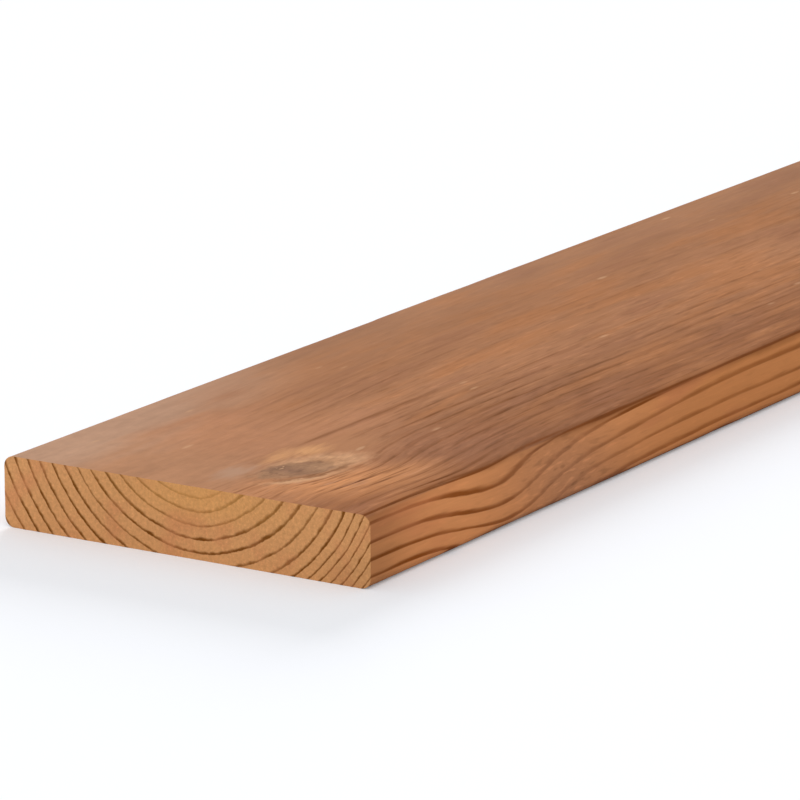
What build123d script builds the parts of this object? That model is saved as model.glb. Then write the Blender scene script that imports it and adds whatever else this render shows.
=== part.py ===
from build123d import *
import os

# A planed board of heat-treated softwood: one straight length of stock, flat on its wide
# face, with its four long arrises rounded and both ends sawn square.
# Millimetres. X runs along the board, Y across it and Z up. The origin is the centre of
# the bottom face.

# Driving dimensions
length = 2400.0
width = 117.0
thickness = 20.0
arris_radius = 3.0

os.makedirs("parts", exist_ok=True)

# Board: the rounded section, drawn on the sawn end at -X and run out along the grain
sawn_end = Plane.YZ.offset(-length / 2)

with BuildPart() as board:
    with BuildSketch(sawn_end):
        RectangleRounded(width, thickness, arris_radius, align=(Align.CENTER, Align.MIN))
    extrude(amount=length)

board.part.label = "board"
export_step(board.part, "parts/board.step")
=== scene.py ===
import collections
import math

import bpy
from bpy.props import FloatProperty, FloatVectorProperty, IntProperty, PointerProperty
from mathutils import Matrix, Vector


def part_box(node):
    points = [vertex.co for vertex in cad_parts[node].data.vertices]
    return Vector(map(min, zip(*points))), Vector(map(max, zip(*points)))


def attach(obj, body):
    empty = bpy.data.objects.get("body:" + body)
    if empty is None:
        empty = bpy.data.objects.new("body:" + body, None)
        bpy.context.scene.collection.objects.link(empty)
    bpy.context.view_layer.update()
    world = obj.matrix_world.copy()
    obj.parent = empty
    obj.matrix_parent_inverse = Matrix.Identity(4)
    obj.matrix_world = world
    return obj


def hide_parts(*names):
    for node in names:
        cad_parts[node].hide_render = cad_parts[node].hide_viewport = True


bl_info = {
    "name": "Heat-treated Board",
    "version": (1, 0, 0),
    "blender": (4, 5, 0),
    "location": "3D View > Sidebar > Board",
    "description": "Dresses a planed length of heat-treated softwood with rings, knots and raised grain",
    "category": "Add Mesh",
}

MM = 0.001
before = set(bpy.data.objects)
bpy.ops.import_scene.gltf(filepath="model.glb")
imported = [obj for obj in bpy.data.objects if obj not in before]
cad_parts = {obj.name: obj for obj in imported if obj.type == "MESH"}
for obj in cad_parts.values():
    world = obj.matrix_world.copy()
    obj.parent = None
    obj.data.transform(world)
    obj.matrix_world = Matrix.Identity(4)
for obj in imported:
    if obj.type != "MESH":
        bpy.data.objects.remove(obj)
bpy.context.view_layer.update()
BLANK_LOW, BLANK_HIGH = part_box("board")
NEAR_END = BLANK_LOW.x
FAR_END = BLANK_HIGH.x
WIDTH = BLANK_HIGH.y - BLANK_LOW.y
THICKNESS = BLANK_HIGH.z - BLANK_LOW.z
SAME_PLACE = 1e-6
WHITE = (1.0, 1.0, 1.0, 1.0)

# Places in the wood are in millimetres from the near end, the middle of the width and the bottom face
TOP = THICKNESS / MM
NEAR_SIDE = BLANK_LOW.y / MM

# A branch runs from its root on the pith to its tip on a face, and the rings swell outwards round it
Branch = collections.namedtuple("Branch", "root tip radius swell spread")

# The buried branch stays just under the near side, so it bends the rings and shows no knot
KNOT = Branch((-3.0, -3.7, 42.0), (31.0, -18.5, TOP), 6.0, 4.2, 11.5)
BURIED_BRANCH = Branch((-3.0, -3.7, 42.0), (71.5, NEAR_SIDE, 2.4), 0.0, 3.46, 13.5)
LATER_BRANCHES = (
    Branch((585.0, 1.7, 38.2), (612.0, 24.0, TOP), 6.5, 6.5, 8.0),
    Branch((590.0, 1.7, 38.2), (633.0, -38.0, TOP), 4.0, 4.0, 9.0),
    Branch((1105.0, 1.7, 38.2), (1130.0, -9.0, TOP), 7.5, 7.0, 9.0),
    Branch((1612.0, 1.7, 38.2), (1650.0, 33.0, TOP), 5.0, 4.5, 9.0),
    Branch((1618.0, 1.7, 38.2), (1641.0, -16.0, TOP), 6.0, 6.0, 8.0),
    Branch((2120.0, 1.7, 38.2), (2146.0, 6.0, TOP), 7.0, 6.5, 9.0),
)
BRANCHES = (KNOT, BURIED_BRANCH, *LATER_BRANCHES)

# A patch that a branch has left in the wood, its reach along each axis and how ragged its edge is
Patch = collections.namedtuple("Patch", "centre reach raggedness")

LOBES = (
    Patch((27.2, -14.8, TOP), (6.6, 10.5, 4.0), 0.6),
    Patch((36.5, -15.0, TOP), (4.6, 2.8, 4.0), 0.6),
)
WAKE = Patch((57.0, -14.0, TOP), (22.0, 19.0, 6.0), 0.4)
WORN = Patch((18.0, -4.5, TOP), (13.0, 6.5, 4.0), 0.5)
GOLD = Patch((46.5, -9.2, TOP), (11.0, 6.5, 4.0), 0.5)
GOLD_TAIL = Patch((38.5, -5.6, TOP), (14.0, 4.6, 4.0), 0.5)
POCKET = Patch((75.0, -57.5, 1.4), (7.0, 3.0, 1.8), 0.6)
POCKET_SHADE = Patch((73.0, -57.0, 0.6), (22.0, 4.0, 2.4), 0.5)


def measure(name, description, default):
    return FloatProperty(name=name, description=description, default=default, unit="LENGTH")


def colour(name, description, value):
    return FloatVectorProperty(name=name, description=description, default=value, subtype="COLOR", size=3,
                               min=0.0, max=1.0)


class BoardSizes(bpy.types.PropertyGroup):
    arris_radius: measure("Arris radius", "Rounding of the four long edges", 3.0 * MM)
    arris_steps: IntProperty(
        name="Arris steps", description="Flats that make up each rounding", default=6, min=2)
    cell: measure("Cell", "Width of a mesh cell across the grain", 1.0 * MM)
    knot_stretch: measure("Knot stretch", "Length from the near end with the shortest cells", 90 * MM)
    near_stretch: measure("Near stretch", "Length from the near end with middling cells", 500 * MM)
    knot_cell: measure("Knot cell", "Length of a cell in the knot stretch", 2.5 * MM)
    near_cell: measure("Near cell", "Length of a cell in the near stretch", 7 * MM)
    far_cell: measure("Far cell", "Length of a cell in the rest of the board", 13 * MM)
    grain_depth: measure("Grain depth", "How far soft wood lies below the rings of planed faces", 0.06 * MM)
    saw_depth: measure("Saw depth", "Depth of the saw's marks on the ends", 0.10 * MM)
    wear_depth: measure("Wear depth", "Depth of the small bruises along the arrises", 0.30 * MM)


class GrainPattern(bpy.types.PropertyGroup):
    pith_side: measure("Pith side", "Pith's place across the board at the near end", -3.7 * MM)
    pith_height: measure("Pith height", "Pith's height over the bottom face at the near end", 42.0 * MM)
    drift_side: measure("Drift side", "How far the pith moves across the board", 5.1 * MM)
    drift_height: measure("Drift height", "How far the pith moves up", -2.95 * MM)
    drift_length: measure("Drift length", "Length over which the pith moves", 200 * MM)
    wander: measure("Wander", "How far the pith strays over the rest of the board", 9 * MM)
    first_ring: measure("First ring", "Radius of the ring numbered 0", 25.1 * MM)
    ring_width: measure("Ring width", "Width of a ring on the far side", 3.75 * MM)
    sixth_ring: measure("Sixth ring", "Radius of the ring numbered 6 on the near side", 48.6 * MM)
    wide_ring: measure("Wide ring", "Ring width of the fast years on the near side", 4.355 * MM)
    narrow_ring: measure("Narrow ring", "Ring width of the slow years on the near side", 2.43 * MM)
    slow_from: measure("Slow from", "Radius at which the slow years begin on the near side", 51.8 * MM)


class WoodColours(bpy.types.PropertyGroup):
    sawn_soft: colour("Sawn soft wood", "Wide pale part of the rings on the ends", (0.640, 0.310, 0.124))
    sawn_red: colour("Sawn red wood", "Redder patches of the ends", (0.590, 0.240, 0.102))
    sawn_gold: colour("Sawn gold wood", "Yellower wood near the pith on the ends", (0.670, 0.328, 0.104))
    sawn_hard: colour("Sawn hard wood", "Dark edge of the rings on the ends", (0.185, 0.060, 0.008))
    planed_soft: colour("Planed soft wood", "Pale part of the rings on planed faces", (0.570, 0.232, 0.086))
    planed_hard: colour("Planed hard wood", "Dark edge of the rings on planed faces", (0.215, 0.056, 0.006))
    planed_red: colour("Planed red wood", "Redder patches of the planed sides", (0.500, 0.178, 0.072))
    planed_deep: colour("Planed deep wood", "Deeper orange of the sides farther on", (0.505, 0.192, 0.058))
    face_soft: colour("Wide face", "Pale part of the rings on the far half", (0.362, 0.166, 0.081))
    face_near: colour("Near half", "Pale part of the rings on the near half", (0.284, 0.116, 0.052))
    face_warm: colour("Warm patches", "Oranger patches of the wide faces", (0.400, 0.168, 0.070))
    face_mauve: colour("Mauve patches", "Duller, pinker patches of the wide faces", (0.308, 0.135, 0.071))
    face_pale: colour("Pale threads", "Thin pale threads of the wide faces", (0.560, 0.265, 0.135))
    # Front stretch: lighter wood and painted sheen on the wide faces near the near end
    face_front: colour("Front stretch", "Lighter wood near the near end", (0.495, 0.234, 0.124))
    face_dusty: colour("Dusty stretch", "Duller wood beside the near end", (0.462, 0.234, 0.126))
    face_hard: colour("Wide face rings", "Dark edge of the rings on the wide faces", (0.150, 0.044, 0.008))
    face_wake: colour("Wake", "Lighter wood behind the front knot", (0.450, 0.212, 0.104))
    # Light stretch: painted sheen, paler and pinker, at the far side of the near end; the WORN patch uses
    # the same pale tone
    face_pale_and_sheen: colour("Light stretch", "Paler wood at the far side of the near end", (0.470, 0.282, 0.186))
    smoke: colour("Smoke", "Greyer wood on the crown side of a branch", (0.350, 0.166, 0.093))
    knot_core: colour("Knot core", "Grey olive heart of the knots", (0.345, 0.190, 0.106))
    knot_dark: colour("Knot streaks", "Dark rings in the heart of the knots", (0.160, 0.082, 0.050))
    knot_lobe: colour("Knot lobes", "Mauve brown lobes in the front knot's heart", (0.165, 0.082, 0.058))
    knot_rim: colour("Knot rim", "Dark line round the knots", (0.190, 0.078, 0.030))
    knot_halo: colour("Knot halo", "Olive tan wood beyond the knots", (0.500, 0.272, 0.142))
    knot_gold: colour("Knot gold", "Gold patch beside the front knot", (0.640, 0.325, 0.148))
    knot_pale: colour("Knot edge", "Pale line round the knots", (0.650, 0.365, 0.200))
    knot_glow: colour("Knot glow", "Bright orange wood squeezed beside the knots", (0.660, 0.295, 0.128))
    # Darker tone of the lines along the arrises
    arris: colour("Arris", "Burnished line along the arrises", (0.180, 0.052, 0.012))
    pocket: colour("Pocket", "Grey mauve spot where a buried branch nears the face", (0.330, 0.190, 0.125))
    fleck: colour("Fleck", "Small cream flecks", (0.620, 0.370, 0.210))


class StageSettings(bpy.types.PropertyGroup):
    floor_size: measure("Floor size", "Side of the square floor", 120.0)
    floor_colour: colour("Floor", "Pale floor", (0.84, 0.86, 0.90))
    floor_lift: FloatProperty(
        name="Floor lift", description="Light that the camera sees the floor give off", default=0.146)
    sky_level: FloatProperty(
        name="Sky level", description="Brightness of the even light from all round", default=0.62)
    key_level: FloatProperty(
        name="Key level", description="Irradiance of the soft light from the front left", default=0.9)
    back_level: FloatProperty(
        name="Back level", description="Irradiance of the low soft light from behind", default=2.45)
    lens: FloatProperty(
        name="Lens", description="Focal length for a 36 mm wide sensor, in millimetres", default=238.06)


class Term:
    """A node socket that Python arithmetic can be done on."""

    def __init__(self, graph, socket):
        self.graph = graph
        self.socket = socket

    def __add__(self, other):
        return self.graph.maths("ADD", self, other)

    __radd__ = __add__

    def __sub__(self, other):
        return self.graph.maths("SUBTRACT", self, other)

    def __rsub__(self, other):
        return self.graph.maths("SUBTRACT", other, self)

    def __mul__(self, other):
        return self.graph.maths("MULTIPLY", self, other)

    __rmul__ = __mul__

    def __truediv__(self, other):
        return self.graph.maths("DIVIDE", self, other)

    def __pow__(self, other):
        return self.graph.maths("POWER", self, other)

    def __neg__(self):
        return self.graph.maths("MULTIPLY", self, -1.0)


class Graph:
    """Adds nodes to a shader or geometry tree."""

    # Places of a colour Mix node's sockets, because several of them share a name
    MIX_FACTOR = 0
    MIX_FIRST = 6
    MIX_SECOND = 7
    MIX_RESULT = 2

    def __init__(self, tree):
        self.tree = tree

    def node(self, kind, settings=None, sockets=None, output=0):
        """Adds a node, makes its settings, then fills its sockets, and returns one of its outputs."""
        made = self.tree.nodes.new(kind)
        for name, value in (settings or {}).items():
            setattr(made, name, value)
        for key, value in (sockets or {}).items():
            if isinstance(value, Term):
                self.tree.links.new(value.socket, made.inputs[key])
            else:
                made.inputs[key].default_value = value
        return Term(self, made.outputs[output]) if made.outputs else None

    def maths(self, operation, *values):
        return self.node("ShaderNodeMath", {"operation": operation}, dict(enumerate(values)))

    def vector_maths(self, operation, *values, output="Vector"):
        return self.node("ShaderNodeVectorMath", {"operation": operation}, dict(enumerate(values)), output)

    def smooth(self, value, low, high):
        """0 below low, 1 above high and an even curve between them."""
        return self.node("ShaderNodeMapRange", {"interpolation_type": "SMOOTHSTEP"},
                         {"Value": value, "From Min": low, "From Max": high})

    def past(self, value, low, high):
        """0 below low, 1 above high, both in millimetres."""
        return self.smooth(value, low * MM, high * MM)

    def before(self, value, low, high):
        """1 below low, 0 above high, both in millimetres."""
        return 1.0 - self.past(value, low, high)

    def blend(self, amount, first, second):
        """Mixes two colours."""
        first, second = (shade if isinstance(shade, Term) else (*shade, 1.0) for shade in (first, second))
        sockets = {self.MIX_FACTOR: amount, self.MIX_FIRST: first, self.MIX_SECOND: second}
        return self.node("ShaderNodeMix", {"data_type": "RGBA"}, sockets, self.MIX_RESULT)

    def scale(self, vector, factor):
        return self.node("ShaderNodeVectorMath", {"operation": "SCALE"}, {0: vector, "Scale": factor})

    def split(self, vector):
        parts = self.node("ShaderNodeSeparateXYZ", sockets={0: vector}).socket.node.outputs
        return [Term(self, part) for part in parts]

    def noise(self, place, cell, detail=2.0, roughness=0.5, offset=0.0):
        """Soft noise from 0 to 1 whose lumps are about the size of cell."""
        scaled = self.vector_maths("DIVIDE", place, cell)
        moved = self.vector_maths("ADD", scaled, (offset, offset, offset))
        return self.node("ShaderNodeTexNoise", {"noise_dimensions": "3D"},
                         {"Vector": moved, "Scale": 1.0, "Detail": detail, "Roughness": roughness})

    def hill(self, value, centre, spread):
        """A bell curve, 1 at the centre."""
        away = (value - centre) / spread
        return self.maths("EXPONENT", away * away * -0.5)


def point(place):
    """A place from the near end, the middle and the bottom face in millimetres, as a point of the frame."""
    return Vector((NEAR_END + place[0] * MM, place[1] * MM, BLANK_LOW.z + place[2] * MM))


def from_branch(graph, place, branch, ahead=0.0, aside=0.0):
    """Distance from a branch's axis. ahead moves the axis along the board and aside to the near side."""
    root = point(branch.root)
    axis = (point(branch.tip) - root).normalized()
    offset = graph.vector_maths("SUBTRACT", place, tuple(root + Vector((ahead, -aside, 0.0))))
    run = graph.vector_maths("DOT_PRODUCT", offset, tuple(axis), output="Value")
    away = graph.vector_maths("SUBTRACT", offset, graph.scale(tuple(axis), run))
    return graph.vector_maths("LENGTH", away, output="Value")


def from_nearest_knot(graph, place, ahead=0.0, aside=0.0):
    """Distance from the axis of the nearest knot. It and the two moves of the axes are in knot radii."""
    beyond_all = 1000.0
    nearest = beyond_all
    for branch in BRANCHES:
        size = branch.radius * MM
        if size:
            away = from_branch(graph, place, branch, ahead * size, aside * size) / size
            nearest = graph.maths("MINIMUM", nearest, away)
    return nearest


def straighten(graph, place, grain):
    """Where a place would lie in a straight log without branches, how far from the pith, and its lean."""
    x, y, z = graph.split(place)
    along = x - NEAR_END
    drift = graph.smooth(along, 0.0, grain.drift_length)
    stray = graph.past(along, 250, 600) * grain.wander
    very_wide = 9.0
    sway = graph.noise(place, (0.55, very_wide, very_wide), detail=1.0) - 0.5
    lift = graph.noise(place, (0.70, very_wide, very_wide), detail=1.0, offset=31.0) - 0.5
    side = (grain.pith_side + drift * grain.drift_side + stray * sway * 2.0) - y
    below = (grain.pith_height + BLANK_LOW.z + drift * grain.drift_height + stray * lift) - z
    radius = (side * side + below * below) ** 0.5
    grown = radius
    for branch in BRANCHES:
        swell = graph.hill(from_branch(graph, place, branch), 0.0, branch.spread * MM) * (branch.swell * MM)
        if branch is BURIED_BRANCH:
            swell = swell * graph.past(radius, 22, 64)
        if branch is KNOT:
            swell = swell * graph.past(along, 5, 27) * graph.before(-y, 42, 54)
        grown = grown - swell
    inwards = graph.past(along, 0, 12) * MM + graph.past(along, 42, 62) * MM
    inwards = inwards * graph.past(z - BLANK_LOW.z, 10, 20) * graph.past(-y, 12, 28)
    grown = grown + inwards * graph.before(-y, 52, 57) * graph.before(along, 120, 200)
    uneven = graph.noise(place, (120 * MM, 12 * MM, 12 * MM), detail=2.0, offset=7.0) - 0.5
    grown = grown + uneven * (0.9 * MM)
    stretch = grown / radius
    straight = graph.node("ShaderNodeCombineXYZ", sockets={0: x, 1: side * stretch, 2: below * stretch})
    return straight, grown, side / radius


def ring_number(graph, grown, lean, grain):
    """Number of rings from ring 0 at a distance from the pith. Whole numbers are the dark outer edges."""
    near = graph.smooth(lean, 0.05, 0.60)
    far_count = (grown - grain.first_ring) / grain.ring_width
    gain = 1.0 / grain.narrow_ring - 1.0 / grain.wide_ring
    slow = graph.maths("SMOOTH_MAX", grown - grain.slow_from, 0.0, 6.0 * MM)
    near_count = (grown - grain.sixth_ring) / grain.wide_ring + slow * gain + 6.0
    return far_count + (near_count - far_count) * near


def raised_grain_tree(sizes, grain):
    """Geometry nodes that sink the soft wood, saw marks, knots and bruises a little below the CAD faces."""
    tree = bpy.data.node_groups.new("raised_grain", "GeometryNodeTree")
    tree.is_modifier = True
    tree.interface.new_socket("Geometry", in_out="INPUT", socket_type="NodeSocketGeometry")
    tree.interface.new_socket("Geometry", in_out="OUTPUT", socket_type="NodeSocketGeometry")
    graph = Graph(tree)
    given = graph.node("NodeGroupInput")
    place = graph.node("GeometryNodeInputPosition")
    normal = graph.node("GeometryNodeInputNormal")
    nx, ny, nz = graph.split(normal)
    x, y, z = graph.split(place)
    on_end = graph.smooth(graph.maths("ABSOLUTE", nx), 0.5, 0.9)
    _, grown, lean = straighten(graph, place, grain)
    ring = ring_number(graph, grown, lean, grain)
    within = graph.maths("FRACT", ring - 0.09)
    hard = graph.smooth(within, 0.35, 0.9) * (1.0 - graph.smooth(within, 0.94, 1.0))
    soft = 1.0 - hard
    knots = 1.0 - graph.smooth(from_nearest_knot(graph, place), 0.7, 1.6)
    ripple = graph.noise(place, (50 * MM, 4 * MM, 4 * MM), detail=2.0, offset=3.0)
    saw_pitch = 2.6 * MM
    saw = graph.maths("SINE", (y * 0.25 + z) * (2 * math.pi / saw_pitch) + ripple * 9.0) * 0.5 + 0.5
    flat_relief = (soft * (1.0 - knots) * 0.7 + knots * ripple * 1.6 + ripple * 0.5) * sizes.grain_depth
    end_relief = (saw * 0.55 + soft * 0.45) * sizes.saw_depth
    corner = graph.smooth(graph.maths("ABSOLUTE", ny) * graph.maths("ABSOLUTE", nz), 0.1, 0.45)
    dents = graph.noise(place, (30 * MM, 6 * MM, 6 * MM), detail=3.0, offset=50.0)
    bruise = graph.smooth(dents, 0.60, 0.78)
    wear = bruise * corner * sizes.wear_depth * (1.0 - on_end)
    depth = flat_relief + (end_relief - flat_relief) * on_end + wear
    offset = graph.scale(normal, -depth)
    moved = graph.node("GeometryNodeSetPosition", sockets={"Geometry": given, "Offset": offset})
    graph.node("NodeGroupOutput", sockets={0: moved})
    return tree


def select_edges(mesh, wanted):
    """Leaves edit mode, selects the edges whose end points satisfy wanted and goes back to edit mode."""
    bpy.ops.mesh.select_all(action="DESELECT")
    bpy.ops.object.mode_set(mode="OBJECT")
    for edge in mesh.edges:
        ends = [mesh.vertices[i].co for i in edge.vertices]
        edge.select = wanted(*ends)
    bpy.ops.object.mode_set(mode="EDIT")


def runs_along(first, second):
    return abs(first.y - second.y) + abs(first.z - second.z) < SAME_PLACE


def cut(origin, normal):
    bpy.ops.mesh.select_all(action="SELECT")
    bpy.ops.mesh.bisect(plane_co=origin, plane_no=normal)


def model_board(sizes):
    """Models the planed length: the blank, its rounded arrises, and cells fine enough for the relief."""
    bpy.ops.object.select_all(action="DESELECT")
    centre = (BLANK_LOW + BLANK_HIGH) / 2
    bpy.ops.mesh.primitive_cube_add(size=1.0, location=centre, scale=BLANK_HIGH - BLANK_LOW)
    board = bpy.context.object
    board.name = board.data.name = "heat_treated_board"
    bpy.ops.object.transform_apply(location=True, rotation=True, scale=True)
    mesh = board.data
    bpy.ops.object.mode_set(mode="EDIT")
    bpy.ops.mesh.select_mode(type="EDGE")
    select_edges(mesh, runs_along)
    bpy.ops.mesh.bevel(offset=sizes.arris_radius, segments=sizes.arris_steps, profile=0.5, affect="EDGES")

    flat_width = WIDTH - 2 * sizes.arris_radius
    flat_height = THICKNESS - 2 * sizes.arris_radius
    columns = 2 * round(flat_width / sizes.cell / 2)
    rows = round(flat_height / sizes.cell)
    for i in range(1, columns):
        cut((0, BLANK_LOW.y + sizes.arris_radius + flat_width * i / columns, 0), (0, 1, 0))
    for i in range(rows + 1):
        cut((0, 0, BLANK_LOW.z + sizes.arris_radius + flat_height * i / rows), (0, 0, 1))
    for y in (BLANK_LOW.y + sizes.arris_radius, BLANK_HIGH.y - sizes.arris_radius):
        cut((0, y, 0), (0, 1, 0))
    knot_from = NEAR_END + sizes.knot_stretch
    near_from = NEAR_END + sizes.near_stretch
    for x in (knot_from, near_from):
        cut((x, 0, 0), (1, 0, 0))
    stretches = ((NEAR_END, knot_from, sizes.knot_cell), (knot_from, near_from, sizes.near_cell),
                 (near_from, FAR_END, sizes.far_cell))
    for start, stop, cell in stretches:
        middle = (start + stop) / 2
        select_edges(mesh, lambda a, b: runs_along(a, b) and min(a.x, b.x) < middle < max(a.x, b.x))
        bpy.ops.mesh.subdivide(number_cuts=round((stop - start) / cell) - 1)
    bpy.ops.mesh.select_all(action="SELECT")
    bpy.ops.mesh.remove_doubles(threshold=SAME_PLACE)
    bpy.ops.mesh.normals_make_consistent(inside=False)
    bpy.ops.object.mode_set(mode="OBJECT")
    return board


def whole_girth(radius):
    """Length of the section's outline."""
    return 2 * (WIDTH + THICKNESS - 4 * radius) + 2 * math.pi * radius


def girth(y, z, radius):
    """Way round the section from the middle of the bottom face, over the near side."""
    flat = WIDTH / 2 - radius
    wall = THICKNESS - 2 * radius
    bend = math.pi / 2 * radius
    up = z - BLANK_LOW.z
    across = abs(y)
    on_flat = across <= flat + SAME_PLACE
    if on_flat and up < THICKNESS / 2:
        way = across
    elif on_flat:
        way = 2 * flat + 2 * bend + wall - across
    elif up < radius:
        way = flat + radius * math.atan2(across - flat, radius - up)
    elif up > THICKNESS - radius:
        way = flat + bend + wall + radius * math.atan2(up - (THICKNESS - radius), across - flat)
    else:
        way = flat + bend + (up - radius)
    return whole_girth(radius) - way if y > 0 else way


def unroll_board(board, sizes):
    """Lays the long faces out as one strip, with the near stretch larger, and the two ends above it."""
    mesh = board.data
    layer = mesh.uv_layers.active or mesh.uv_layers.new()
    layer.name = "OFBake"
    margin = 0.004
    strip_top = 0.865
    end_bottom = 0.878
    near_share = 0.5
    near_from = NEAR_END + sizes.near_stretch
    whole = whole_girth(sizes.arris_radius)
    span = 1.0 - 2 * margin

    def place_along(x):
        if x <= near_from:
            share = near_share * (x - NEAR_END) / (near_from - NEAR_END)
        else:
            share = near_share + (1 - near_share) * (x - near_from) / (FAR_END - near_from)
        return margin + span * share

    for face in mesh.polygons:
        middle = face.center
        on_end = abs(face.normal.x) > 0.9
        expected = girth(middle.y, middle.z, sizes.arris_radius)
        for loop in face.loop_indices:
            at = mesh.vertices[mesh.loops[loop].vertex_index].co
            if on_end:
                side = 0.0 if middle.x < 0 else 0.5
                u = side + margin + (0.5 - 2 * margin) * (at.y - BLANK_LOW.y) / WIDTH
                v = end_bottom + (1 - margin - end_bottom) * (at.z - BLANK_LOW.z) / THICKNESS
            else:
                way = girth(at.y, at.z, sizes.arris_radius)
                if expected - way > whole / 2:
                    way += whole
                elif way - expected > whole / 2:
                    way -= whole
                u = place_along(at.x)
                v = margin + (strip_top - margin) * way / whole
            layer.data[loop].uv = (u, v)


class Wood:
    """Solid wood that the faces cut: what varies through the log, and the tones made from it."""

    def __init__(self, graph, grain, tones):
        self.graph = graph
        self.tones = tones
        self.place = graph.node("ShaderNodeTexCoord", output="Object")
        nx, ny, nz = graph.split(graph.node("ShaderNodeTexCoord", output="Normal"))
        x, self.y, z = graph.split(self.place)
        self.along = x - NEAR_END
        self.up = z - BLANK_LOW.z
        self.on_end = graph.smooth(graph.maths("ABSOLUTE", nx), 0.5, 0.9)
        self.on_flat = 1.0 - self.on_end
        self.level_face = graph.maths("ABSOLUTE", nz)
        self.on_wide = graph.smooth(self.level_face, 0.72, 0.86) * self.on_flat
        self.turn = graph.maths("ABSOLUTE", ny)
        self.turned = graph.smooth(self.turn, 0.12, 0.28) * self.on_flat
        self.near_side = graph.past(-self.y, 0, 1)
        self.straight, grown, lean = straighten(graph, self.place, grain)
        self.slanted = graph.smooth(graph.maths("ABSOLUTE", lean), 0.10, 0.42)
        ragged = self.noise(30, 1.2, offset=11) - 0.5
        self.ring = ring_number(graph, grown, lean, grain) + ragged * 0.15

        self.fibre = self.noise(20, 0.45, detail=3, offset=2) - 0.5
        self.streak = self.noise(100, 2.4, detail=3, offset=5) - 0.5
        self.blotch = self.noise(60, 17, detail=3, offset=19) - 0.5
        self.tint = self.noise(55, 11, detail=2, roughness=0.5, offset=37)
        self.swirl = self.noise(50, 5, offset=61) - 0.5
        self.edges = self.noise(9, 1.6, offset=71) - 0.5
        threads = self.noise(26, 1.5, offset=67)
        self.dark_threads = graph.smooth(threads, 0.53, 0.68)
        self.pale_threads = 1.0 - graph.smooth(threads, 0.32, 0.46)

        # Greyer wood behind the buried branch, wood squeezed beside the knot, and how clear the rings are
        wake = from_branch(graph, self.place, BURIED_BRANCH, ahead=32 * MM)
        self.smoke = graph.hill(wake, 0.0, 13 * MM) * self.on_flat
        end_of_it = self.along + self.y * 0.25 + self.tint * (36 * MM) + self.fibre * (14 * MM)
        stretch = graph.before(end_of_it, 40, 65) * graph.past(-self.y, 7, 20)
        stretch = stretch * (0.55 + graph.past(self.along, 3, 20) * 0.45)
        beside = graph.hill(from_branch(graph, self.place, KNOT), 17.5 * MM, 8 * MM)
        self.squeezed = beside * stretch * self.on_flat
        self.near_half = graph.past(-self.y, 5, 55)
        self.clear = graph.past(-self.y, -50, 12)
        quiet = graph.before(self.along, 45, 100) * graph.past(self.y, -14, -2)
        self.calm = 1.0 - quiet * 0.75
        self.under_pith = graph.hill(self.y, -6 * MM, 17 * MM)
        self.speck = (self.lumps(3, 1, roughness=0.7, offset=23) - 0.5) * (self.on_end + self.smoke * 0.55)
        self.line, self.ripening = self.ring_line()

    def noise(self, length, width, detail=2.0, roughness=0.6, offset=0.0):
        """Noise that follows the fibres. Its lumps' length and width are in millimetres."""
        cell = (length * MM, width * MM, width * MM)
        return self.graph.noise(self.straight, cell, detail, roughness, offset)

    def lumps(self, length, width, detail=2.0, roughness=0.6, offset=0.0):
        """Noise that takes no heed of the fibres. Its lumps' length and width are in millimetres."""
        cell = (length * MM, width * MM, width * MM)
        return self.graph.noise(self.place, cell, detail, roughness, offset)

    def ring_line(self):
        """Darkness of the hard wood, and how far the soft wood has darkened towards it, from 0 to 1."""
        graph = self.graph
        near_pith = graph.before(graph.maths("ABSOLUTE", self.y), 0, 20)
        slant = 1.0 - self.on_wide * near_pith * 0.6
        count = self.ring - 0.07
        within = graph.maths("FRACT", count)
        year = graph.maths("FLOOR", count)
        vigour = graph.node("ShaderNodeTexWhiteNoise", {"noise_dimensions": "1D"}, {"W": year})
        swelling = self.noise(30, 4, detail=3, roughness=0.5, offset=13) - 0.5
        knobs = self.noise(12, 2.6, detail=1, roughness=0.5, offset=17) - 0.5
        width = (0.150 + vigour * 0.05 + swelling * 0.20 + knobs * 0.12) * slant
        width = width * (1.0 - self.on_end * 0.12)
        rise = graph.smooth(within, 1.0 - width * 2.0, 0.98 - width * 0.60)
        fall = 1.0 - graph.smooth(within, 0.93, 1.0)
        strength = 0.74 + vigour * 0.24 + swelling * 0.6 + knobs * 0.5
        return rise * fall * strength * (1.0 - self.smoke * 0.35), graph.smooth(within, 0.30, 0.85)

    def sawn_end(self):
        graph, tones = self.graph, self.tones
        tone = graph.blend(self.line * 1.02, tones.sawn_soft, tones.sawn_hard)
        tone = graph.blend(graph.smooth(self.tint, 0.48, 0.70) * 0.6, tone, tones.sawn_red)
        gold = self.under_pith * graph.past(self.up, 7, 17)
        tone = graph.blend(gold * 0.6, tone, tones.sawn_gold)
        # Painted shade: the end is darker at its lower corner on the near side, by the floor
        low_corner_shade = graph.past(-self.y, 34, 52) * graph.before(self.up, 4, 12)
        return graph.scale(tone, 0.985 - low_corner_shade * 0.10)

    def narrow_face(self):
        graph, tones, along = self.graph, self.tones, self.along
        faded = graph.past(along, 70, 130) * 0.32
        turning = graph.smooth(self.level_face, 0.15, 0.50) * 0.40
        shown = self.line * (1.02 - faded + turning) + self.ripening * 0.07
        soft = graph.blend(graph.past(along, 120, 190) * 0.55, tones.planed_soft, tones.planed_deep)
        tone = graph.blend(shown, soft, tones.planed_hard)
        tone = graph.blend(self.smoke * 0.55, tone, tones.smoke)
        tone = graph.blend(graph.smooth(self.tint, 0.48, 0.66) * 0.6, tone, tones.planed_red)
        # Painted shade: the side is darker where it turns onto the sawn end
        end_arris_shade = graph.before(along, 2, 24) * 0.22
        sunlit = graph.hill(along, 43 * MM, 17 * MM) * 0.12
        rounding = graph.smooth(self.level_face, 0.15, 0.80) * 0.16
        return graph.scale(tone, 1.0 - end_arris_shade + sunlit - rounding)

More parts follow.
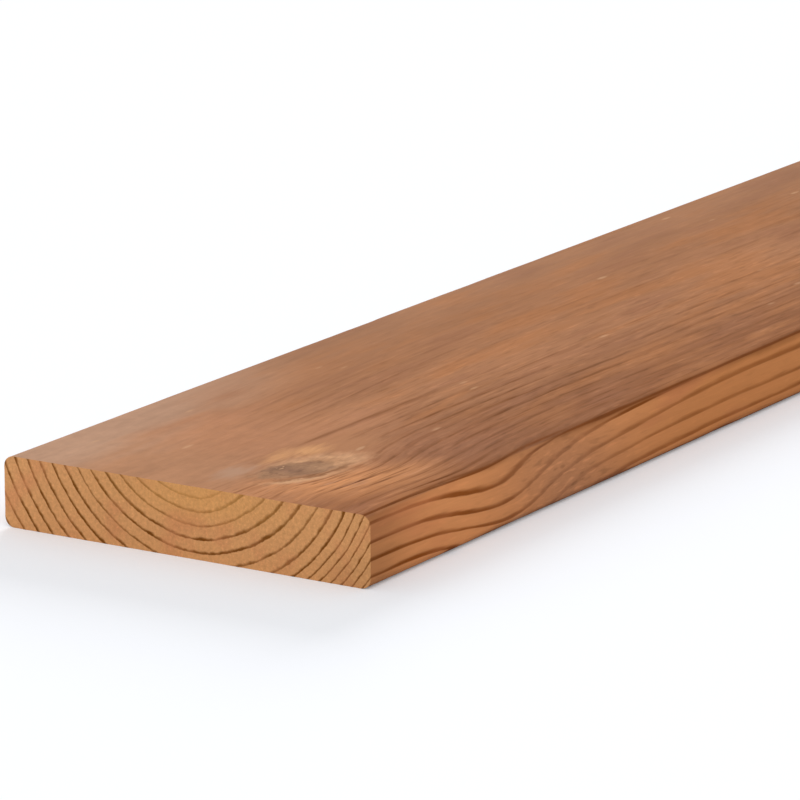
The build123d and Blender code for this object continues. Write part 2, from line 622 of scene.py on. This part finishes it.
    def wide_ground(self):
        """Tone of a wide face's soft wood, and how much of it is the light stretch's painted sheen."""
        graph, tones, along, y, tint = self.graph, self.tones, self.along, self.y, self.tint
        tone = graph.blend(self.near_half, tones.face_soft, tones.face_near)
        tone = graph.blend(graph.smooth(tint, 0.48, 0.68) * 0.8, tone, tones.face_warm)
        tone = graph.blend((1.0 - graph.smooth(tint, 0.32, 0.50)) * 0.6, tone, tones.face_mauve)
        # Partly painted sheen: the wide face is lighter near the near end and fades along the board
        front = graph.before(along + tint * (60 * MM), 60, 150) * graph.past(y, -50, -10)
        tone = graph.blend(front * 0.8, tone, tones.face_front)
        dusty = graph.before(along + tint * (20 * MM), 26, 58) * graph.past(y, -20, -8)
        tone = graph.blend(dusty * 0.75, tone, tones.face_dusty)
        # Painted sheen: a paler, pinker stretch at the far side of the near end, and a faint strip along
        # the far side
        light = graph.before(along + tint * (60 * MM), 85, 200)
        light = light * graph.past(y - along * 0.06 + tint * (50 * MM), 46, 74)
        light = graph.maths("MAXIMUM", light, graph.past(y, 25, 55) * 0.20)
        tone = graph.blend(light * 0.85, tone, tones.face_pale_and_sheen)
        tone = graph.blend(self.smoke * 0.75, tone, tones.face_mauve)
        return graph.blend(self.squeezed * 0.9, tone, tones.knot_glow), light

    def wide_face(self):
        graph, tones, along, y = self.graph, self.tones, self.along, self.y
        tone, light = self.wide_ground()
        worn = 1.0 - graph.past(-y, 34, 50) * 0.4
        broken = 0.45 + graph.smooth(self.noise(22, 3, offset=83), 0.38, 0.60) * 0.75
        # The ring lines fade under the painted sheen
        shown = (0.06 + self.clear * 0.50 + self.squeezed * 0.3) * worn * broken * (1.0 - light * 0.8)
        shown = shown * self.slanted * (0.20 + graph.past(along - y * 0.3, 14, 38) * 0.80) * self.calm
        faint = 1.0 - graph.past(along, 115, 200) * 0.35
        shown = shown * faint
        brink = graph.past(-y, 52.5, 55) * (1.20 - graph.past(along, 30, 60) * 0.85)
        shown = graph.maths("MAXIMUM", shown, brink)
        tone = graph.blend((self.line + self.ripening * 0.15) * shown, tone, tones.face_hard)
        dark = self.dark_threads * (0.04 + self.clear * 0.20 + self.squeezed * 0.30) * self.calm
        tone = graph.blend(dark * faint, tone, tones.face_hard)
        pale = self.pale_threads * (0.05 + self.clear * 0.12 + self.squeezed * 0.76) * self.calm
        tone = graph.blend(pale, tone, tones.face_pale)
        middle = self.under_pith * graph.past(along, 40, 90) * 0.09
        corner = graph.past(-y, 38, 54) * graph.before(along, 8, 45) * 0.20
        dull = graph.hill(along, 100 * MM, 26 * MM) * graph.past(-y, 34, 50) * 0.10
        return graph.scale(tone, 1.0 + middle + corner - dull)

    def arris(self, tone):
        """Darker line where the wide faces turn over, broader away from the near end."""
        graph, along = self.graph, self.along
        dip = 0.27 + graph.hill(along, 61 * MM, 11 * MM) * 0.38
        first = graph.hill(self.turn, dip, 0.12) * graph.before(along, 88, 116) * self.near_side
        second = graph.hill(self.turn, 0.60, 0.10) * (1.0 - graph.before(along, 80, 112) * self.near_side)
        crest = graph.maths("MAXIMUM", first, second) * (0.90 + self.swirl)
        broad = graph.hill(self.level_face, 0.60, 0.25) * graph.past(along, 60, 115)
        edge_darkening = crest * self.on_flat + broad * (0.16 + self.swirl) * self.turned
        return graph.blend(edge_darkening, tone, self.tones.arris)

    def brightness(self):
        """Level that the fibres, resin canals, streaks and blotches give the tone."""
        graph = self.graph
        dash = self.noise(8, 1.3, detail=1, roughness=0.5, offset=53)
        dark_dash = graph.smooth(dash, 0.56, 0.74)
        pale_dash = 1.0 - graph.smooth(dash, 0.26, 0.42)
        shown = 0.060 + self.clear * self.on_wide * 0.090 + self.smoke * (1.0 - self.on_wide) * 0.20
        dashes = (pale_dash - dark_dash) * (shown * self.on_flat * self.calm)
        broad = self.streak * (self.on_flat * self.calm * 0.18) + self.blotch * (0.20 + self.on_wide * 0.14)
        mottle = self.lumps(5.5, 3.5, detail=3, offset=89) - 0.5
        clouds = self.swirl * 0.35 + self.edges * 0.14 + mottle * 0.42
        broad = broad + clouds * (1.0 - self.calm) * self.on_flat
        grains = graph.smooth(self.speck, 0.08, 0.24) * 0.06
        fine = self.fibre * (self.calm * (0.18 - self.on_wide * 0.04)) + self.speck * 0.58 + grains
        return 1.0 + fine + broad + dashes

    def knots(self, tone):
        """Adds the knots: a mottled grey heart, tan wood round it and a pale edge on the root side."""
        graph, tones, place = self.graph, self.tones, self.place
        wave = self.lumps(7, 5, detail=3, offset=41) - 0.5
        mottle = self.lumps(4.4, 2.8, offset=47) - 0.5
        away = from_nearest_knot(graph, place)
        heart = from_nearest_knot(graph, place, ahead=-0.62, aside=-0.25) + wave * 1.1
        crown = from_nearest_knot(graph, place, ahead=0.90)
        flank = from_nearest_knot(graph, place, aside=1.0)
        first = 0.55 + graph.before(self.along, 100, 200) * 0.45
        soften = (0.72 + wave * 1.2) * self.on_flat * first
        tan = 1.0 - graph.smooth(crown + wave * 1.6, 0.80, 1.80)
        pale = graph.hill(heart, 1.56, 0.20) * graph.smooth(crown - away, 0.0, 0.7)
        pale = pale * graph.smooth(away - flank, -0.1, 0.5)
        core = 1.0 - graph.smooth(heart, 0.82, 1.32)
        tanned = graph.blend(graph.smooth(crown, 0.3, 1.2), tones.knot_halo, tones.knot_pale)
        tone = graph.blend(tan * soften, tone, graph.scale(tanned, 1.0 + mottle * 1.1 + self.fibre * 0.5))
        tone = graph.blend(pale * (self.on_flat * first), tone, tones.knot_pale)
        turns = graph.maths("SINE", heart * 13.0 + mottle * 9.0) * 0.5 + 0.5
        streaky = graph.smooth(turns * 0.5 + mottle * 2.2 - 0.05, 0.0, 1.0)
        heartwood = graph.blend(streaky, tones.knot_core, tones.knot_dark)
        for lobe in LOBES:
            heartwood = graph.blend(self.spot(lobe) * 0.70, heartwood, tones.knot_lobe)
        tone = graph.blend(core * 0.78, tone, graph.scale(heartwood, 1.0 + wave * 1.2))
        crumbs = (1.0 - graph.smooth(mottle, -0.26, -0.18)) * (core + tan) * 0.4
        tone = graph.blend(crumbs * self.on_flat, tone, tones.fleck)
        behind = graph.smooth(away - crown, 0.10, 0.45) * graph.smooth(crown, 0.9, 1.3)
        near_flank = graph.smooth(away - flank, -0.2, 0.5)
        behind = behind * (1.0 - graph.smooth(crown, 2.3, 3.3)) * near_flank * self.on_flat
        hooks = graph.smooth(graph.maths("SINE", crown * 17.0 + mottle * 5.0 + wave * 6.0), 0.0, 0.9)
        tone = graph.blend(hooks * behind * 0.45, tone, tones.knot_rim)
        rim = graph.hill(heart, 1.30, 0.10) * (0.62 - self.swirl) * near_flank
        return graph.blend(rim, tone, tones.knot_rim)

    def marks(self, tone):
        """Adds what the branches leave round them: pale and gold wood, a dark seam and a grey pocket."""
        graph, tones = self.graph, self.tones
        tone = graph.blend(self.spot(WAKE) * 0.80, tone, tones.face_wake)
        # A pale patch in the tone of the painted sheen
        tone = graph.blend(self.spot(WORN) * 0.75, tone, tones.face_pale_and_sheen)
        gold = graph.maths("MAXIMUM", self.spot(GOLD), self.spot(GOLD_TAIL) * 0.80)
        tone = graph.blend(gold * (0.92 + self.fibre * 1.2), tone, tones.knot_gold)
        run = graph.past(self.along, 45, 58) * graph.before(self.along, 100, 135)
        seam = graph.hill(self.y + self.swirl * (3 * MM), -4.2 * MM, 0.55 * MM)
        seam = seam * graph.past(self.up, 10, 15)
        tone = graph.blend(seam * run * 0.55, tone, tones.face_hard)
        tone = graph.blend(self.spot(POCKET_SHADE) * 0.5, tone, tones.arris)
        return graph.blend(self.spot(POCKET) * 0.55, tone, tones.pocket)

    def spot(self, patch):
        """1 at a patch's centre and 0 beyond its reach, with a ragged edge."""
        graph = self.graph
        away = graph.vector_maths("SUBTRACT", self.place, tuple(point(patch.centre)))
        scaled = graph.vector_maths("DIVIDE", away, tuple(reach * MM for reach in patch.reach))
        far = graph.vector_maths("LENGTH", scaled, output="Value") + self.edges * (2.0 * patch.raggedness)
        return 1.0 - graph.smooth(far, 0.10, 1.0)

    def flecks(self, tone):
        """Adds small cream flecks to the wide faces."""
        graph = self.graph
        cell = graph.vector_maths("DIVIDE", self.straight, (40 * MM, 11 * MM, 11 * MM))
        away = graph.node("ShaderNodeTexVoronoi", sockets={"Vector": cell, "Scale": 1.0})
        fleck = (1.0 - graph.smooth(away + self.fibre * 0.03, 0.030, 0.095)) * self.on_wide
        return graph.blend(fleck * 0.5, tone, self.tones.fleck)


def heat_treated_wood(grain, tones):
    """The board's material."""
    material = bpy.data.materials.new("heat_treated_wood")
    material.use_nodes = True
    material.node_tree.nodes.clear()
    graph = Graph(material.node_tree)
    wood = Wood(graph, grain, tones)
    tone = graph.blend(wood.on_wide, wood.narrow_face(), wood.wide_face())
    tone = graph.blend(wood.on_end, wood.arris(tone), wood.sawn_end())
    tone = graph.scale(tone, wood.brightness())
    tone = wood.flecks(wood.knots(wood.marks(tone)))
    sheen = 0.72 + wood.fibre * 0.10 - wood.line * 0.06 + wood.on_end * 0.10
    height = wood.fibre * 0.5 + wood.line * 0.5 + wood.speck
    bump = graph.node("ShaderNodeBump", sockets={"Strength": 0.25, "Distance": 0.05 * MM, "Height": height})
    surface = graph.node("ShaderNodeBsdfPrincipled", sockets={
        "Base Color": tone, "Roughness": sheen, "Specular IOR Level": 0.04, "Normal": bump})
    graph.node("ShaderNodeOutputMaterial", sockets={"Surface": surface})
    return material


class BOARD_OT_make(bpy.types.Operator):
    """Model the board, sink its relief and give it its wood"""
    bl_idname = "mesh.heat_treated_board"
    bl_label = "Heat-treated Board"
    bl_options = {"REGISTER", "UNDO"}

    def execute(self, context):
        scene = context.scene
        board = model_board(scene.board_sizes)
        unroll_board(board, scene.board_sizes)
        relief = board.modifiers.new("raised_grain", "NODES")
        relief.node_group = raised_grain_tree(scene.board_sizes, scene.board_grain)
        bpy.ops.object.modifier_apply(modifier=relief.name)
        sharp_from = math.radians(40)
        bpy.ops.object.shade_smooth_by_angle(angle=sharp_from)
        board.data.materials.clear()
        board.data.materials.append(heat_treated_wood(scene.board_grain, scene.board_colours))
        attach(board, "root")
        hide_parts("board")
        return {"FINISHED"}


def camera_sees(graph):
    """1 for what the camera sees straight, in a reflection or through glass."""
    camera, glossy, glass = (graph.node("ShaderNodeLightPath", output=name)
                             for name in ("Is Camera Ray", "Is Glossy Ray", "Is Transmission Ray"))
    return graph.maths("MAXIMUM", graph.maths("MAXIMUM", camera, glossy), glass)


def pale_floor(stage):
    """A floor that is white to the camera and keeps the board's soft shadow."""
    bpy.ops.object.select_all(action="DESELECT")
    bpy.ops.mesh.primitive_plane_add(size=stage.floor_size, location=(0, 0, BLANK_LOW.z))
    floor = bpy.context.object
    floor.name = "floor"
    bpy.ops.object.transform_apply(location=True, rotation=True, scale=True)
    material = bpy.data.materials.new("pale_floor")
    material.use_nodes = True
    material.node_tree.nodes.clear()
    graph = Graph(material.node_tree)
    seen = camera_sees(graph)
    matt = graph.node("ShaderNodeBsdfDiffuse", sockets={"Color": (*stage.floor_colour, 1.0)})
    lift = graph.node("ShaderNodeEmission", sockets={"Color": WHITE, "Strength": seen * stage.floor_lift})
    both = graph.node("ShaderNodeAddShader", sockets={0: matt, 1: lift})
    graph.node("ShaderNodeOutputMaterial", sockets={"Surface": both})
    floor.data.materials.append(material)


def even_sky(scene, stage):
    """Even light from all round, and white where the camera looks past the floor."""
    world = bpy.data.worlds.new("even_sky")
    scene.world = world
    world.use_nodes = True
    world.node_tree.nodes.clear()
    graph = Graph(world.node_tree)
    level = stage.sky_level + camera_sees(graph) * (1.0 - stage.sky_level)
    sky = graph.node("ShaderNodeBackground", sockets={"Color": WHITE, "Strength": level})
    graph.node("ShaderNodeOutputWorld", sockets={"Surface": sky})


def soft_lamp(name, toward, level, spread, shine=True):
    """A sun that fills spread degrees of the sky. toward points from the board to it."""
    bpy.ops.object.light_add(type="SUN", location=toward)
    lamp = bpy.context.object
    lamp.name = name
    lamp.rotation_euler = toward.to_track_quat("Z", "Y").to_euler()
    lamp.data.energy = level
    lamp.data.angle = math.radians(spread)
    lamp.visible_glossy = shine


def add_camera(scene, stage):
    """The photograph's viewpoint, from the middle of the near end's bottom edge."""
    heading = math.radians(32.155)
    tilt = math.radians(14.429)
    roll = math.radians(-0.192)
    stand = point((-1108.7, -764.6, 389.1))
    bpy.ops.object.camera_add(location=stand)
    camera = bpy.context.object
    camera.name = "camera"
    turn = Matrix.Rotation(heading - math.pi / 2, 4, "Z") @ Matrix.Rotation(math.pi / 2 - tilt, 4, "X")
    camera.rotation_euler = (turn @ Matrix.Rotation(roll, 4, "Z")).to_euler()
    camera.data.sensor_width = 36.0
    camera.data.lens = stage.lens
    camera.data.clip_end = 200.0
    scene.camera = camera


class BOARD_OT_stage(bpy.types.Operator):
    """Lay out the pale floor, the even light and the camera"""
    bl_idname = "scene.board_stage"
    bl_label = "Pale Stage"
    bl_options = {"REGISTER", "UNDO"}

    def execute(self, context):
        scene = context.scene
        stage = scene.board_stage
        pale_floor(stage)
        even_sky(scene, stage)
        front_left = Vector((-0.60, -0.34, 0.62))
        low_behind = Vector((0.86, 0.34, 0.25))
        soft_lamp("soft_key", front_left, stage.key_level, spread=50)
        soft_lamp("soft_back", low_behind, stage.back_level, spread=24, shine=False)
        add_camera(scene, stage)
        scene.view_settings.view_transform = "Standard"
        return {"FINISHED"}


class BOARD_PT_sidebar(bpy.types.Panel):
    """Buttons for the board and its stage"""
    bl_idname = "BOARD_PT_sidebar"
    bl_label = "Heat-treated Board"
    bl_space_type = "VIEW_3D"
    bl_region_type = "UI"
    bl_category = "Board"

    def draw(self, context):
        scene = context.scene
        for name in ("board_sizes", "board_grain", "board_colours"):
            column = self.layout.column()
            group = getattr(scene, name)
            for prop in group.bl_rna.properties:
                if prop.identifier not in ("rna_type", "name"):
                    column.prop(group, prop.identifier)
        self.layout.operator(BOARD_OT_make.bl_idname)
        for name in ("floor_colour", "floor_lift", "sky_level", "key_level", "back_level", "lens"):
            self.layout.prop(scene.board_stage, name)
        self.layout.operator(BOARD_OT_stage.bl_idname)


SETTINGS = {
    "board_sizes": BoardSizes,
    "board_grain": GrainPattern,
    "board_colours": WoodColours,
    "board_stage": StageSettings,
}
CLASSES = (*SETTINGS.values(), BOARD_OT_make, BOARD_OT_stage, BOARD_PT_sidebar)


def register():
    for cls in CLASSES:
        bpy.utils.register_class(cls)
    for name, group in SETTINGS.items():
        setattr(bpy.types.Scene, name, PointerProperty(type=group))


def unregister():
    for name in SETTINGS:
        delattr(bpy.types.Scene, name)
    for cls in reversed(CLASSES):
        bpy.utils.unregister_class(cls)


def main():
    register()
    bpy.ops.mesh.heat_treated_board()
    bpy.ops.scene.board_stage()


if __name__ == "__main__":
    main()
